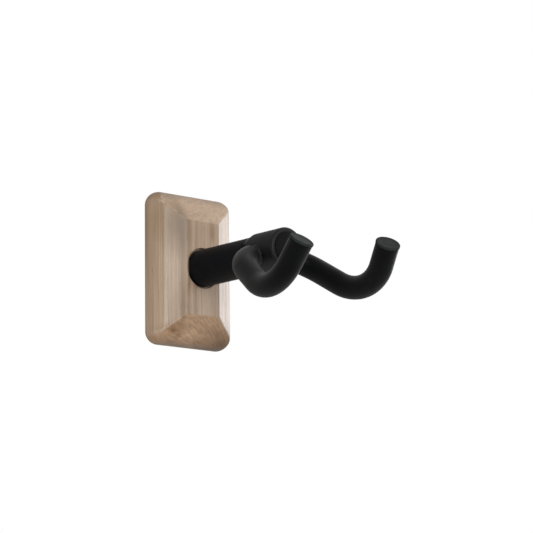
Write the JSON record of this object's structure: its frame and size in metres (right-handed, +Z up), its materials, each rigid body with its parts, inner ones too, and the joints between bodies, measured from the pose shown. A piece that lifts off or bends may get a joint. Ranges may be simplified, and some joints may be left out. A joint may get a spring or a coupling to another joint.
{
  "type": "wall guitar hanger",
  "caption": "Wall guitar hanger: bevelled wooden block, black stem, and a swivelling two-armed yoke with rubber-covered upturned arms.",
  "frame": {"origin": "on the wall plane, at the centre of the block's back face, behind the stem's axis", "axes": "+Z up, +X to the right for someone who faces the wall, -Y out of the wall along the stem"},
  "size_m": [0.0852, 0.1563, 0.093],
  "materials": {
    "maple": "sanded and thinly oiled",
    "zinc_plated_steel": "bright zinc plate",
    "spring_steel": "plain, lightly oiled",
    "bare_steel_rod": "drawn bar, black oxide where it shows",
    "black_oxide_steel": "turned and blackened, satin",
    "black_powder_coat": "fine-texture powder coat",
    "stem_rubber": "smooth matte",
    "arm_rubber": "fine-grained matte",
    "tip_rubber": "matte, slightly greyer than the arms",
    "natural_nylon": "turned",
    "black_plastic": "moulded, fine texture"
  },
  "bodies": {
    "base": {"wood_base": "maple", "wall_plate": "zinc_plated_steel", "weld_nut": "zinc_plated_steel", "clamp_washer": "zinc_plated_steel", "stem_shaft": "black_oxide_steel", "stem_sleeve": "stem_rubber", "stop_pin": "spring_steel", "rear_thrust_washer": "natural_nylon", "wave_washer": "spring_steel", "retaining_washer": "zinc_plated_steel", "pivot_screw": "black_oxide_steel"},
    "yoke": {"yoke_hub": "black_powder_coat", "hub_bush": "natural_nylon", "front_thrust_washer": "natural_nylon", "hub_cap": "black_plastic", "left_arm_rod": "bare_steel_rod", "right_arm_rod": "bare_steel_rod", "left_weld": "black_powder_coat", "right_weld": "black_powder_coat", "left_arm_sleeve": "arm_rubber", "right_arm_sleeve": "arm_rubber", "left_tip_cap": "tip_rubber", "right_tip_cap": "tip_rubber"}
  },
  "joints": [
    {"name": "yoke_swivel", "type": "hinge", "parent": "base", "child": "yoke", "pos_m": [0, -0.086, 0], "axis": [0, -1, 0], "range_deg": [-35.2, 24.8]}
  ]
}
